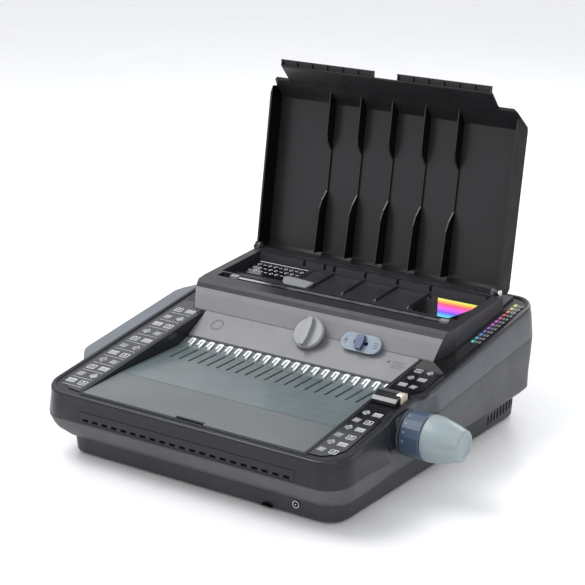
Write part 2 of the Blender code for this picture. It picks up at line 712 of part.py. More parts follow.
def make_lid():
    """Shallow open-fronted box; profile points are (depth behind the hinge plane, height)."""
    place, turn = lid_place()
    out = LID_DEPTH + PLATE
    profile = [(0, -3), (out - 5, -3), (out, 2), (out, LID_CREASE), (out - 2, LID_CREASE + 4), (0, 226)]
    lid = prism("storage_lid", profile, "X", -LID_HALF, LID_HALF, MAT["lid_black"], place, turn)
    side = [(LID_HALF, -20), (LID_HALF, 205), (LID_HALF - 5, 222), (LID_HALF - 13, 233)]
    points, faces = prism_data(side + [(-x, z) for x, z in reversed(side)], "Y", -40, 40)
    boolean(lid, tool(points, faces, place, turn), "INTERSECT")
    hollow = [(-10, -0.5), (LID_DEPTH - 4, -0.5), (LID_DEPTH, 3), (LID_DEPTH, LID_CREASE - 1),
              (LID_DEPTH - 2.5, LID_CREASE + 2), (-1, 223.6), (-10, 231)]
    points, faces = prism_data(hollow, "X", -LID_HALF + 2.7, LID_HALF - 2.7)
    cut(lid, points, faces, place, turn)
    brow = [(3.0, 220.0), (4.6, 221.6), (-20, 243), (-22, 243), (-22, 241)]
    add(lid, *prism_data(brow, "X", -LIP_HALF, LIP_HALF), origin=place, turn=turn)
    lip = [(-20.6, 241.9), (-21.2, LIP_TOP), (-25.4, LIP_TOP), (-25.4, LIP_TOP - 1.6),
           (-22.6, LIP_TOP - 1.6), (-21.6, 241.9)]
    halves = [prism_data(lip, "X", low, high) for low, high in ((0.5 - LIP_HALF, -13.5), (21.5, LIP_HALF - 0.5))]
    add(lid, *merged(halves), origin=place, turn=turn)
    for side in (-1, 1):
        cut(lid, *box_data(side * 177.3 - 3.5, side * 177.3 + 3.5, -12, 9, -8, 4), origin=place, turn=turn)
        add(lid, *lathe_data([(6, side * 180.9), (6, side * 183.2)], "X", 16), origin=place, turn=turn)
        cut(lid, *lathe_data([(2.85, side * 174.5), (2.85, side * 189.5)], "X", 16), origin=place, turn=turn)
    for x in FIN_X:
        add(lid, *fin_data(x - LID_X), origin=place, turn=turn)
    return lid


def fin_data(x):
    """Divider rib: deep near the hinge and near the lip, low in between."""
    back = LID_DEPTH + 1
    shape = [(back, 4), (5, 4), (8, 62), (13, 74), (back - 3.5, 86), (back - 3.5, 140), (12, 152), (9, 160),
             (9, 216), (19, 207), (back - 0.5, 201)]
    return prism_data(shape, "X", x - 0.9, x + 0.9)


def make_hinge_pins():
    for name, side in (("left", -1), ("right", 1)):
        profile = [(2.5, 175.0), (2.5, 184.1), (4.2, 184.1), (4.2, 185.7)]
        if side < 0:
            profile = [(r, -t) for r, t in reversed(profile)]
        lathe(f"lid_hinge_pin_{name}", profile, "X", 16, MAT["steel"], (LID_X, HINGE_Y, HINGE_Z))


# ---------------------------------------------------------------- knob and comb opener drive

def make_knob():
    axis = (0, KNOB_Y, KNOB_Z)
    profile = [(26.5, 235.4), (27, 238), (26.4, 250), (22.5, 266), (18.5, 276.5), (17.5, KNOB_END), (15, KNOB_END)]
    knob = solid("drive_knob", *lathe_data(profile, "X", 32), MAT["pale_green"], axis)
    cut(knob, *lathe_data([(SHAFT_R + GAP, 230), (SHAFT_R + GAP, 262.5)], "X", 20), origin=axis)
    for i in range(6):
        turn = Matrix.Rotation(math.tau * i / 6, 4, "X")
        rib = [(252, 20), (256, 26.6), (277.6, 19.6), (277.6, 14)]
        points, faces = prism_data([(a, b) for a, b in rib], "Y", -1.2, 1.2)
        add(knob, points, faces, axis, turn)
    lathe("drive_shaft", [(SHAFT_R, -156), (SHAFT_R, 262)], "X", 16, MAT["steel"], axis)
    for name, side in (("left", -1), ("right", 1)):
        gear = solid(f"rack_pinion_{name}", *pinion_data(), MAT["brass"], (side * PINION_X, KNOB_Y, KNOB_Z))
        cut(gear, *lathe_data([(SHAFT_R + GAP, -10), (SHAFT_R + GAP, 10)], "X", 16),
            origin=(side * PINION_X, KNOB_Y, KNOB_Z))
    ring_profile = [(26, 208.4), (27, 210), (27, 235)]
    collar = solid("size_ring", *lathe_data(ring_profile, "X", 16), MAT["ring_blue"], axis)
    cut(collar, *lathe_data([(9, 200), (9, 240)], "X", 20), origin=axis)
    plate = solid("knob_backplate", *lathe_data([(26, 204.9), (26, 207.9)], "X", 24), MAT["dark_grey"], axis)
    cut(plate, *lathe_data([(7, 200), (7, 210)], "X", 20), origin=axis)


def pinion_data():
    teeth = 16
    shape = []
    for i in range(teeth):
        for part, radius in ((-0.3, PINION_R - 1.8), (-0.14, PINION_R), (0.14, PINION_R), (0.3, PINION_R - 1.8)):
            angle = math.tau * (i + part) / teeth
            shape.append((radius * math.cos(angle), radius * math.sin(angle)))
    return prism_data(shape, "X", -4.5, 4.5)


# ---------------------------------------------------------------- frame, punch and motor

def make_side_frames():
    shape = [(92, 34), (300, 34), (300, 134), (266, 134), (246, 112), (216, 96), (206, 80), (92, 80)]
    for name, side in (("left", -1), ("right", 1)):
        low, high = sorted((side * (FRAME_X - 1.5 + 3.5), side * (FRAME_X + 1.5 + 3.5)))
        frame = prism(f"side_frame_{name}", shape, "X", low, high, MAT["zinc"])
        holes = [lathe_data([(SHAFT_R + 1, low - 5), (SHAFT_R + 1, high + 5)], "X", 16)]
        cut(frame, *holes[0], origin=(0, KNOB_Y, KNOB_Z))
        cut(frame, *lathe_data([(6.3, low - 5), (6.3, high + 5)], "X", 16), origin=(0, PUNCH_Y, CAM_Z))


def make_punch():
    holes = [box_data(x - 4.3, x + 4.3, PUNCH_Y - 1.9, PUNCH_Y + 1.9, 50, 120) for x in finger_positions()]
    die = box("die_plate", -151.5, 151.5, PUNCH_Y - 13, PUNCH_Y + 13, 68, 76, MAT["steel"])
    cut(die, *merged(holes))
    guide = box("pin_guide", -151.5, 151.5, PUNCH_Y - 11, PUNCH_Y + 11, 80, 86, MAT["steel"])
    cut(guide, *merged(holes))
    beam = box("punch_beam", -BEAM_HALF, BEAM_HALF, PUNCH_Y - 6, PUNCH_Y + 6, 99.5, BEAM_TOP, MAT["zinc"])
    pins = [box_data(x - 3.9, x + 3.9, PUNCH_Y - 1.5, PUNCH_Y + 1.5, 81, 101) for x in finger_positions()]
    add(beam, *merged(pins))
    side = [(214, 97.8), (260, 78.9), (260, 77.4), (214, 96.3)]
    prism("paper_chute", side, "X", -150, 150, MAT["zinc"])


def spiral_cam_outline(steps=28):
    """Constant-rise cam: its smallest radius points down at rest, and it grows by CAM_RISE in half a turn."""
    points = []
    for i in range(steps):
        turn = math.tau * i / steps
        reach = turn / math.pi if turn <= math.pi else 2 - turn / math.pi
        radius = CAM_SMALL + CAM_RISE * reach
        angle = -math.pi / 2 + turn
        points.append((radius * math.cos(angle), radius * math.sin(angle)))
    return points


def make_cam_shaft():
    axis = (0, PUNCH_Y, CAM_Z)
    shaft = lathe("cam_shaft", [(5, -156), (5, 156)], "X", 16, MAT["steel"], axis)
    for x in (-CAM_X, CAM_X):
        add(shaft, *prism_data(spiral_cam_outline(), "X", x - 4, x + 4), origin=axis)
    pulley = solid("cam_pulley", *lathe_data([(CAM_PULLEY_R, -5), (CAM_PULLEY_R, 5)], "X", 32), MAT["black_plastic"],
                   (BELT_X, PUNCH_Y, CAM_Z))
    cut(pulley, *lathe_data([(5 + GAP, -10), (5 + GAP, 10)], "X", 16), origin=(BELT_X, PUNCH_Y, CAM_Z))


def belt_outline(offset):
    """Outline round both pulleys at this offset from their faces."""
    span = Vector((MOTOR_Y - PUNCH_Y, MOTOR_Z - CAM_Z))
    heading = math.atan2(span.y, span.x)
    lean = math.acos((CAM_PULLEY_R - MOTOR_PULLEY_R) / span.length)
    points = []
    for centre, radius, start, sweep in (
            ((PUNCH_Y, CAM_Z), CAM_PULLEY_R + offset, heading + lean, math.tau - 2 * lean),
            ((MOTOR_Y, MOTOR_Z), MOTOR_PULLEY_R + offset, heading - lean, 2 * lean)):
        for i in range(13):
            angle = start + sweep * i / 12
            points.append((centre[0] + radius * math.cos(angle), centre[1] + radius * math.sin(angle)))
    return points


def make_belt():
    outer = belt_outline(1.9)
    inner = belt_outline(0.4)
    count = len(outer)
    points = [(x, y, z) for x in (BELT_X - 4, BELT_X + 4) for row in (outer, inner) for y, z in row]
    faces = []
    for i in range(count):
        j = (i + 1) % count
        faces += [(i, j, count + j, count + i), (2 * count + i, 2 * count + j, 3 * count + j, 3 * count + i),
                  (i, j, 2 * count + j, 2 * count + i), (count + i, count + j, 3 * count + j, 3 * count + i)]
    return solid("drive_belt", points, faces, MAT["rubber"])


def make_motor():
    place = (0, MOTOR_Y, MOTOR_Z)
    case = lathe("motor_case", [(24, 0), (27, 3), (27, 84), (24, 87)], "X", 24, MAT["zinc"], place)
    cut(case, *lathe_data([(4, 60), (4, 100)], "X", 12), origin=place)
    rotor = lathe("motor_shaft", [(3, 62), (3, 105.5), (MOTOR_PULLEY_R, 105.5), (MOTOR_PULLEY_R, 118.5)], "X", 20,
                  MAT["steel"], place)
    box("motor_bracket", 8, 78, 335, 365, 40, 92.5, MAT["zinc"])
    box("circuit_board", -140, -52, 318, 404, 50, 51.6, MAT["board_green"])
    box("transformer", -128, -78, 330, 380, 52, 88, MAT["steel"])
    inlet = box("mains_inlet", -54.2, -7.8, 438, 452.4, 66.8, 95.2, MAT["black_plastic"])
    cut(inlet, *box_data(-43, -19, 443, 470, 73, 91))
    return rotor


def make_rear_switch():
    frame = box("switch_frame", -96, -70, 450.3, 453.5, 74, 92, MAT["black_plastic"])
    cut(frame, *box_data(-92.5, -73.5, 440, 460, 77, 89))
    shape = [(-8.8, -1), (8.8, -1), (8.8, 2.4), (0, 4.4), (-8.8, 2.4)]
    return prism("power_rocker", shape, "Z", -5.6, 5.6, MAT["black_plastic"], (-83, 451.5, 83))


# ---------------------------------------------------------------- drawer, key and front socket

def make_drawer():
    front = SHIFT - PLINTH_HALF - 0.6
    drawer = box("chip_drawer", front, DRAWER_END, DRAWER_Y0, DRAWER_Y1, DRAWER_Z0, DRAWER_Z1, MAT["dark_grey"])
    cut(drawer, *box_data(front + 4, DRAWER_END - 2, DRAWER_Y0 + 2, DRAWER_Y1 - 2, DRAWER_Z0 + 2, 40))
    cut(drawer, *box_data(front - 5, front + 1.6, 270, 310, 14, 20))
    return drawer


def make_key():
    """Punch key: a rounded block over the right strip, with a pale lens let into its outer side."""
    foot = lambda y: rim_z(y) - 8.0
    rises = ((KEY_Y0, 6), (138, 9), (150, 9.5), (160, 7), (KEY_Y1, 3))
    side = [(KEY_Y0, foot(KEY_Y0))] + [(y, rim_z(y) - 1 + rise) for y, rise in rises] + [(KEY_Y1, foot(KEY_Y1))]
    key = prism("punch_key", side, "X", KEY_X0, KEY_X1, MAT["gloss_black"])
    cut(key, *box_data(KEY_SPLIT, KEY_X1 + 5, LENS_Y0 - GAP, LENS_Y1 + GAP, 90, 130))
    rises = ((LENS_Y0, 7.4), (149, 9.2), (155, 8.4), (LENS_Y1, 6))
    side = [(LENS_Y0, foot(LENS_Y0))]
    side += [(y, rim_z(y) - 1 + rise) for y, rise in rises] + [(LENS_Y1, foot(LENS_Y1))]
    prism("key_lens", side, "X", KEY_SPLIT + GAP, KEY_X1, MAT["cream"])


def make_front_socket():
    lathe("front_socket", [(4.6, 0), (4.6, 0.8), (3, 0.8), (3, 6)], "Y", 16, MAT["steel"], (137, 22.7, 17))


FRAME = None
MAT = {}


def build():
    global FRAME
    clear_scene()
    FRAME = make_frame()
    MAT.update({
        "charcoal": plastic("charcoal", (0.020, 0.021, 0.027), 0.38),
        "dark_grey": plastic("dark_grey", (0.060, 0.062, 0.066), 0.5),
        "blue_grey": plastic("blue_grey", (0.115, 0.130, 0.150), 0.42),
        "cover_grey": plastic("cover_grey", (0.060, 0.060, 0.070), 0.45),
        "warm_grey": plastic("warm_grey", (0.320, 0.320, 0.335), 0.5),
        "flap_grey": plastic("flap_grey", (0.185, 0.200, 0.215), 0.45),
        "deck_green": plastic("deck_green", (0.150, 0.190, 0.200), 0.4),
        "light_grey": plastic("light_grey", (0.480, 0.500, 0.510), 0.45),
        "light_blue": plastic("light_blue", (0.350, 0.420, 0.500), 0.4),
        "deep_blue": plastic("deep_blue", (0.070, 0.090, 0.220), 0.4),
        "ring_blue": plastic("ring_blue", (0.105, 0.165, 0.280), 0.42),
        "pale_green": plastic("pale_green", (0.400, 0.470, 0.480), 0.4),
        "lid_black": plastic("lid_black", (0.016, 0.016, 0.018), 0.35),
        "gloss_black": plastic("gloss_black", (0.008, 0.008, 0.009), 0.12),
        "black_plastic": plastic("black_plastic", (0.012, 0.012, 0.013), 0.4),
        "cream": plastic("cream", (0.640, 0.580, 0.470), 0.25),
        "rubber": plastic("rubber", (0.014, 0.014, 0.014), 0.8),
        "steel": plastic("steel", (0.560, 0.570, 0.580), 0.28, 1.0),
        "zinc": plastic("zinc", (0.460, 0.470, 0.480), 0.45, 1.0),
        "brass": plastic("brass", (0.620, 0.470, 0.220), 0.35, 1.0),
        "board_green": plastic("board_green", (0.030, 0.180, 0.080), 0.5),
    })
    make_base_pan()
    make_feet()
    make_lower_housing()
    make_upper_housing()
    make_shoulder()
    make_front_slot_panel()
    make_strips()
    make_flap()
    make_flap_bin()
    make_deck()
    make_hooks()
    make_console()
    make_dial()
    make_selector()
    make_top_cover()
    make_tray_fittings()
    make_gauge()
    make_closer()
    make_lid()
    make_hinge_pins()
    make_knob()
    make_side_frames()
    make_punch()
    make_cam_shaft()
    make_belt()
    make_motor()
    make_rear_switch()
    make_drawer()
    make_key()
    make_front_socket()


build()
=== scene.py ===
import bmesh
import bpy
import colorsys
import math

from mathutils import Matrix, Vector


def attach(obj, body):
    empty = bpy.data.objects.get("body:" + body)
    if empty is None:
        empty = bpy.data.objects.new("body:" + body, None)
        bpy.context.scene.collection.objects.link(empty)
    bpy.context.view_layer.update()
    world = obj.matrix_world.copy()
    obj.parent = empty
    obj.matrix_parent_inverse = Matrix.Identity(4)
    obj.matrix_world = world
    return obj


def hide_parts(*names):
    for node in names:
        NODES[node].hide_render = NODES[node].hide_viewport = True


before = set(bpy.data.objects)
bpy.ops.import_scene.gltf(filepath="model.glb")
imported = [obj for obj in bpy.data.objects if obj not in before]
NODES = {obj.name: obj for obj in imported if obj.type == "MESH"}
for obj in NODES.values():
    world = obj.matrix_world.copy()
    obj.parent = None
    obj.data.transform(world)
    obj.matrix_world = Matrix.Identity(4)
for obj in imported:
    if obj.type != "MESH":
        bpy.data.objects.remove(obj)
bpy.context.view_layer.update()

MM = 0.001
CENTRE_X = 18.0
CENTRE_Y = 229.066
SHIFT = -3.0
PITCH = 14.2875
FINGERS = [(i - 10) * PITCH for i in range(21)]
RIM_HALF = 211.0
RIM_HALF_REAR = 214.0
BELT_HALF = 215.0
WAIST_HALF = 212.0
PLINTH_HALF = 194.0
BAY_HALF = 158.0
CONSOLE_Y, CONSOLE_Z = 212.0, 103.5
SEAM_Y, SEAM_Z = 249.0, 125.0
KNOB_Y, KNOB_Z = 145, 78
HINGE_Y, HINGE_Z = 402.0, 168.7
LID_TILT = math.radians(9.5)


def place(x, y, z):
    """Machine millimetres to row-frame metres."""
    return Vector(((x - CENTRE_X) * MM, (y - CENTRE_Y) * MM, z * MM))


def rim_z(y):
    return 88.0 + 0.15 * y


def cover_z(y):
    return 157.8 + 9.6 * (y - 269.0) / 129.0


def ease(value, start, end):
    part = min(1.0, max(0.0, (value - start) / (end - start)))
    return part * part * (3.0 - 2.0 * part)


# ---------------------------------------------------------------- materials

def finish(name, colour, rough=0.45, metal=0.0, grain=700.0, bump=0.06, tone=0.10, vary=0.07, coat=0.0,
           wear=0.0, spec=0.5):
    """Procedural surface: fine grain in the relief, broad drift in colour and gloss, faint scuffs."""
    material = bpy.data.materials.new(name)
    material.use_nodes = True
    tree = material.node_tree
    shader = tree.nodes["Principled BSDF"]
    shader.inputs["Metallic"].default_value = metal
    shader.inputs["Specular IOR Level"].default_value = spec
    shader.inputs["Coat Weight"].default_value = coat
    shader.inputs["Coat Roughness"].default_value = 0.12
    coords = tree.nodes.new("ShaderNodeTexCoord")

    def noise(scale, detail, lacunarity=2.0):
        node = tree.nodes.new("ShaderNodeTexNoise")
        node.inputs["Scale"].default_value = scale
        node.inputs["Detail"].default_value = detail
        node.inputs["Lacunarity"].default_value = lacunarity
        tree.links.new(coords.outputs["Object"], node.inputs["Vector"])
        return node

    broad = noise(9.0, 4.0)
    ramp = tree.nodes.new("ShaderNodeValToRGB")
    ramp.color_ramp.elements[0].position = 0.32
    ramp.color_ramp.elements[1].position = 0.70
    ramp.color_ramp.elements[0].color = (*[c * (1.0 - tone) for c in colour], 1.0)
    ramp.color_ramp.elements[1].color = (*[min(1.0, c * (1.0 + tone)) for c in colour], 1.0)
    tree.links.new(broad.outputs["Fac"], ramp.inputs["Fac"])
    tree.links.new(ramp.outputs["Color"], shader.inputs["Base Color"])
    streaks = noise(38.0, 8.0, 2.6)
    gloss = tree.nodes.new("ShaderNodeMapRange")
    gloss.inputs["From Min"].default_value = 0.3
    gloss.inputs["From Max"].default_value = 0.7
    gloss.inputs["To Min"].default_value = max(0.02, rough - vary)
    gloss.inputs["To Max"].default_value = min(1.0, rough + vary + wear)
    tree.links.new(streaks.outputs["Fac"], gloss.inputs["Value"])
    tree.links.new(gloss.outputs["Result"], shader.inputs["Roughness"])
    relief = noise(grain, 3.0)
    dent = tree.nodes.new("ShaderNodeBump")
    dent.inputs["Strength"].default_value = bump
    dent.inputs["Distance"].default_value = 0.0004
    tree.links.new(relief.outputs["Fac"], dent.inputs["Height"])
    tree.links.new(dent.outputs["Normal"], shader.inputs["Normal"])
    return material


MAT = {
    "charcoal": finish("charcoal", (0.0085, 0.0092, 0.0130), 0.27, grain=900, bump=0.07, coat=0.06,
                       spec=0.32),
    "dark_grey": finish("dark_grey", (0.052, 0.054, 0.058), 0.50, grain=900, bump=0.16),
    "plinth_grey": finish("plinth_grey", (0.030, 0.031, 0.035), 0.50, grain=900, bump=0.14, spec=0.35),
    # painted light: a lighter grey laid on the charcoal housing's right-hand wall under the rim
    "right_wall_painted_light": finish("right_wall_painted_light", (0.066, 0.072, 0.086), 0.40, grain=900, bump=0.10, spec=0.4),
    "blue_grey": finish("blue_grey", (0.105, 0.120, 0.142), 0.42, grain=900, bump=0.10),
    "cover_grey": finish("cover_grey", (0.020, 0.020, 0.024), 0.36, grain=900, bump=0.12, spec=0.35),
    "cover_front": finish("cover_front", (0.195, 0.193, 0.203), 0.45, grain=900, bump=0.10),
    "warm_grey": finish("warm_grey", (0.148, 0.148, 0.157), 0.42, grain=900, bump=0.10),
    "flap_grey": finish("flap_grey", (0.103, 0.114, 0.121), 0.40, grain=900, bump=0.12),
    "deck_green": finish("deck_green", (0.098, 0.125, 0.131), 0.32, grain=1400, bump=0.05, coat=0.15),
    "light_grey": finish("light_grey", (0.235, 0.242, 0.250), 0.36, grain=900, bump=0.06),
    "light_blue": finish("light_blue", (0.145, 0.186, 0.236), 0.35, grain=900, bump=0.06),
    "deep_blue": finish("deep_blue", (0.034, 0.052, 0.118), 0.33, grain=900, bump=0.06),
    "ring_blue": finish("ring_blue", (0.036, 0.058, 0.098), 0.40, grain=900, bump=0.08),
    "pale_green": finish("pale_green", (0.220, 0.268, 0.284), 0.38, grain=900, bump=0.06),
    "lid_black": finish("lid_black", (0.0150, 0.0148, 0.0165), 0.33, grain=1100, bump=0.06, coat=0.06,
                        spec=0.32),
    # painted shade: a darker copy of the lid's black for the lid's faces that turn sideways
    "lid_side_painted_shade": finish("lid_side_painted_shade", (0.0026, 0.0026, 0.0030), 0.42, grain=1100, bump=0.05, spec=0.10),
    "gloss_black": finish("gloss_black", (0.006, 0.006, 0.007), 0.14, grain=300, bump=0.02, coat=0.4),
    "black_plastic": finish("black_plastic", (0.010, 0.010, 0.011), 0.42, grain=900, bump=0.10),
    "cream": finish("cream", (0.56, 0.50, 0.40), 0.22, grain=500, bump=0.02, coat=0.4),
    "rubber": finish("rubber", (0.014, 0.014, 0.014), 0.85, grain=600, bump=0.3),
    "steel": finish("steel", (0.62, 0.63, 0.64), 0.26, metal=1.0, grain=1500, bump=0.05, wear=0.08),
    "hook_steel": finish("hook_steel", (0.86, 0.87, 0.88), 0.24, metal=0.75, grain=1500, bump=0.03),
    "zinc": finish("zinc", (0.42, 0.43, 0.45), 0.42, metal=1.0, grain=1200, bump=0.08),
    "brass": finish("brass", (0.60, 0.45, 0.20), 0.34, metal=1.0, grain=1200, bump=0.05),
    "board_green": finish("board_green", (0.03, 0.16, 0.07), 0.45, grain=800, bump=0.08),
    # painted shade: near-black for the insides of slots, a hole and a notch, where only shade falls
    "slot_black": finish("slot_black", (0.0012, 0.0012, 0.0014), 0.85, grain=600, bump=0.02, spec=0.05),
    "ink_white": finish("ink_white", (0.62, 0.64, 0.66), 0.4, grain=600, bump=0.02),
    "ink_grey": finish("ink_grey", (0.20, 0.21, 0.22), 0.4, grain=600, bump=0.02),
    "ink_dark": finish("ink_dark", (0.02, 0.021, 0.024), 0.4, grain=600, bump=0.02),
}

NODE_FINISH = {
    "base_pan": "plinth_grey", "lower_housing": "dark_grey", "upper_housing": "charcoal",
    "shoulder_cover": "blue_grey", "front_slot_panel": "charcoal",
    "left_guide_strip": "gloss_black", "right_guide_strip": "gloss_black",
    "right_colour_strip": "gloss_black", "flap_bin": "dark_grey",
    "comb_deck": "deck_green", "console_panel": "warm_grey",
    "selector_plate": "light_blue", "top_cover": "cover_grey", "tray_rear_ledge": "cover_grey",
    "size_chart": "gloss_black", "capacity_chart": "gloss_black", "lid_hinge_pin_left": "steel",
    "lid_hinge_pin_right": "steel", "knob_backplate": "dark_grey", "side_frame_left": "zinc",
    "side_frame_right": "zinc", "die_plate": "steel", "pin_guide": "steel", "paper_chute": "zinc",
    "motor_case": "zinc", "motor_bracket": "zinc", "circuit_board": "board_green", "transformer": "steel",
    "mains_inlet": "black_plastic", "switch_frame": "black_plastic", "front_socket": "zinc",
    "drive_belt": "rubber", "storage_lid": "lid_black", "deck_flap": "flap_grey",
    "hook_carrier": "hook_steel",
    "drive_knob": "pale_green", "drive_shaft": "steel", "rack_pinion_left": "brass",
    "rack_pinion_right": "brass", "size_ring": "ring_blue", "margin_dial": "light_grey",
    "selector_thumb": "deep_blue", "gauge_slider": "light_grey", "wire_closer_bar": "steel",
    "closer_end_left": "light_grey", "closer_end_right": "light_grey", "cam_shaft": "steel",
    "cam_pulley": "black_plastic", "punch_beam": "zinc", "motor_shaft": "steel", "chip_drawer": "plinth_grey",
    "punch_key": "gloss_black", "key_lens": "cream", "power_rocker": "black_plastic",
    "foot_front_left": "rubber", "foot_front_right": "rubber", "foot_rear_left": "rubber",
    "foot_rear_right": "rubber",
}
BEVEL = {
    "top_cover": 1.1, "storage_lid": 0.5, "deck_flap": 0.5, "comb_deck": 0.35, "console_panel": 0.6,
    "selector_plate": 1.0, "selector_thumb": 1.0, "margin_dial": 0.8, "shoulder_cover": 0.5,
    "punch_key": 1.4, "key_lens": 1.2, "gauge_slider": 0.5,
    "tray_rear_ledge": 0.3, "hook_carrier": 0.3, "base_pan": 0.6, "mains_inlet": 0.5, "switch_frame": 0.5,
    "power_rocker": 0.4, "chip_drawer": 0.5, "size_ring": 1.0, "wire_closer_bar": 0.4, "closer_end_left": 0.6,
    "closer_end_right": 0.6, "front_slot_panel": 0.2, "knob_backplate": 0.6,
}


def round_edges(obj, width, segments=3):
    step = obj.modifiers.new("bevel", "BEVEL")
    step.width = width * MM
    step.segments = segments
    step.limit_method = "ANGLE"
    step.angle_limit = math.radians(34)
    step.harden_normals = True
    step.use_clamp_overlap = True


def smooth(obj, angle=34.0):
    obj.data.shade_smooth()
    obj.data.set_sharp_from_angle(angle=math.radians(angle))


for node_name, node in NODES.items():
    node.data.materials.clear()
    node.data.materials.append(MAT[NODE_FINISH[node_name]])
    smooth(node)
    if node_name in BEVEL:
        round_edges(node, BEVEL[node_name])


def light_front(node, low, high):
    """Paints the cover's front face the console's colour and leaves its rounded top edge dark."""
    node.data.materials.append(MAT["cover_front"])
    for face in node.data.polygons:
        centre = face.center
        if face.normal.y < -0.55 and low < centre.z < high and centre.y < place(0, 262, 0).y:
            face.material_index = 1


light_front(NODES["top_cover"], 0.118, 0.1515)


def paint_shade_on_lid_sides(node, material):
    """Faces across the lid, such as its dividers and end walls, get painted shade: a darker copy of the lid's
    black.
    """
    node.data.materials.append(MAT[material])
    for face in node.data.polygons:
        if abs(face.normal.x) > 0.8:
            face.material_index = 1


paint_shade_on_lid_sides(NODES["storage_lid"], "lid_side_painted_shade")


# ---------------------------------------------------------------- mesh tools

def piece(name, points, faces, material, body="housing", slot=None, smooth_angle=34.0, bevel=0.0, turn=None):
    """A mesh piece from machine millimetres, riding on a CAD body."""
    mesh = bpy.data.meshes.new(name)
    mesh.from_pydata([place(*p) for p in points], [], faces)
    work = bmesh.new()
    work.from_mesh(mesh)
    bmesh.ops.recalc_face_normals(work, faces=work.faces)
    work.to_mesh(mesh)
    work.free()
    obj = bpy.data.objects.new(name, mesh)
    bpy.context.scene.collection.objects.link(obj)
    mesh.materials.append(MAT[material])
    smooth(obj, smooth_angle)
    if bevel:
        round_edges(obj, bevel)
    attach(obj, body)
    return obj


def prism_points(outline, low, high, frame3):
    """Outline (a, b) between two offsets; frame3 maps (a, b, offset) to machine millimetres."""
    count = len(outline)
    points = [frame3(a, b, t) for t in (low, high) for a, b in outline]
    faces = [tuple(range(count)), tuple(range(count, 2 * count))]
    faces += [(i, (i + 1) % count, count + (i + 1) % count, count + i) for i in range(count)]
    return points, faces


def merged(pieces):
    points = []
    faces = []
    for piece_points, piece_faces in pieces:
        start = len(points)
        points += piece_points
        faces += [tuple(i + start for i in face) for face in piece_faces]
    return points, faces


def arc(radius, steps, centre=(0.0, 0.0), start=0.0, sweep=math.tau):
    whole = abs(sweep - math.tau) < 1e-6
    last = steps if whole else steps - 1
    return [(centre[0] + radius * math.cos(start + sweep * i / last),
             centre[1] + radius * math.sin(start + sweep * i / last)) for i in range(steps)]


def lathe_points(profile, steps, frame3):
    """Profile (radius, offset) spun round the frame's third axis."""
    points = [frame3(a, b, t) for radius, t in profile for a, b in arc(radius, steps)]
    rows = len(profile)
    faces = [tuple(range(steps)), tuple(range((rows - 1) * steps, rows * steps))]
    for row in range(rows - 1):
        base = row * steps
        faces += [(base + i, base + (i + 1) % steps, base + steps + (i + 1) % steps, base + steps + i)
                  for i in range(steps)]
    return points, faces


def rectangle(x0, x1, y0, y1):
    return [(x0, y0), (x1, y0), (x1, y1), (x0, y1)]


# ---------------------------------------------------------------- housing shells

SIDE_STATIONS = (48, 62, 72, 77, 82, 88, 93, 98, 102, 105, 108, 112, 117, 122, 128, 134, 145, 156, 161,
                 166, 170, 173, 176, 180, 184, 188, 191, 194, 197, 200, 206, 220, 240, 246, 275, 288,
                 294, 299, 305, 311, 316, 322, 350, 390, 404)
CORNER_STEPS = 14


def recess(y, side):
    return ease(y, 98, 112) * (1 - ease(y, 178, 200)) if side > 0 else 0.0


def flare(y, side):
    return ease(y, 72, 112) * (1 - ease(y, 288, 322)) if side < 0 else 0.0


def behind_knob(y, side):
    return ease(y, 178, 200) if side > 0 else 0.0


def belt_half(y, side):
    body = BELT_HALF + 25.0 * flare(y, side) + 3.0 * behind_knob(y, side)
    return body + (206.8 - body) * recess(y, side)


def belt_z(y):
    front = 56.0 + 4.0 * ease(y, 0, 40) + 5.0 * ease(y, 80, 125)
    rear = 65.7 + 0.111 * y
    return front + (rear - front) * ease(y, 125, 195)


def rim_half(y, side):
    if side < 0:
        return RIM_HALF
    front = RIM_HALF - 4.0 * ease(y, 95, 120)
    return front + (RIM_HALF_REAR - front) * ease(y, 166, 180)


def shelf_half(y, side):
    if side < 0:
        return RIM_HALF + 26.0 * flare(y, side)
    return rim_half(y, side) + 0.3 * (belt_half(y, side) - rim_half(y, side))


def waist_half(y, side):
    body = WAIST_HALF + 20.0 * flare(y, side) + 2.0 * behind_knob(y, side)
    return body + (205.8 - body) * recess(y, side)


def bulge_half(y, side):
    widest = ease(y, 178, 230) if side > 0 else flare(y, side)
    return 205.0 + 8.0 * widest - 3.0 * recess(y, side)


def inset(half, distance):
    return lambda y, side: half(y, side) - distance


def straight(half):
    return lambda y, side: half


def outline_side(half, front, rear, front_radius, rear_radius):
    points = []
    for i in range(CORNER_STEPS + 1):
        angle = math.radians(-90.0 + 90.0 * i / CORNER_STEPS)
        points.append((half(front) - front_radius + front_radius * math.cos(angle),
                       front + front_radius + front_radius * math.sin(angle)))
    points += [(half(y), y) for y in SIDE_STATIONS]
    for i in range(CORNER_STEPS + 1):
        angle = math.radians(90.0 * i / CORNER_STEPS)
        points.append((half(rear) - rear_radius + rear_radius * math.cos(angle),
                       rear - rear_radius + rear_radius * math.sin(angle)))
    return points


def ring(half, front, rear, front_radius, rear_radius, height, centre=SHIFT):
    right = outline_side(lambda y: half(y, 1), front, rear, front_radius, rear_radius)
    left = outline_side(lambda y: half(y, -1), front, rear, front_radius, rear_radius)
    both = [(centre + x, y) for x, y in right] + [(centre - x, y) for x, y in reversed(left)]
    return [(x, y, height(y)) for x, y in both]


def band(name, rings, material):
    count = len(rings[0])
    points = [point for row in rings for point in row]
    faces = []
    for row in range(len(rings)):
        low = row * count
        high = ((row + 1) % len(rings)) * count
        faces += [(low + i, low + (i + 1) % count, high + (i + 1) % count, high + i) for i in range(count)]
    return piece(name, points, faces, material, smooth_angle=32)


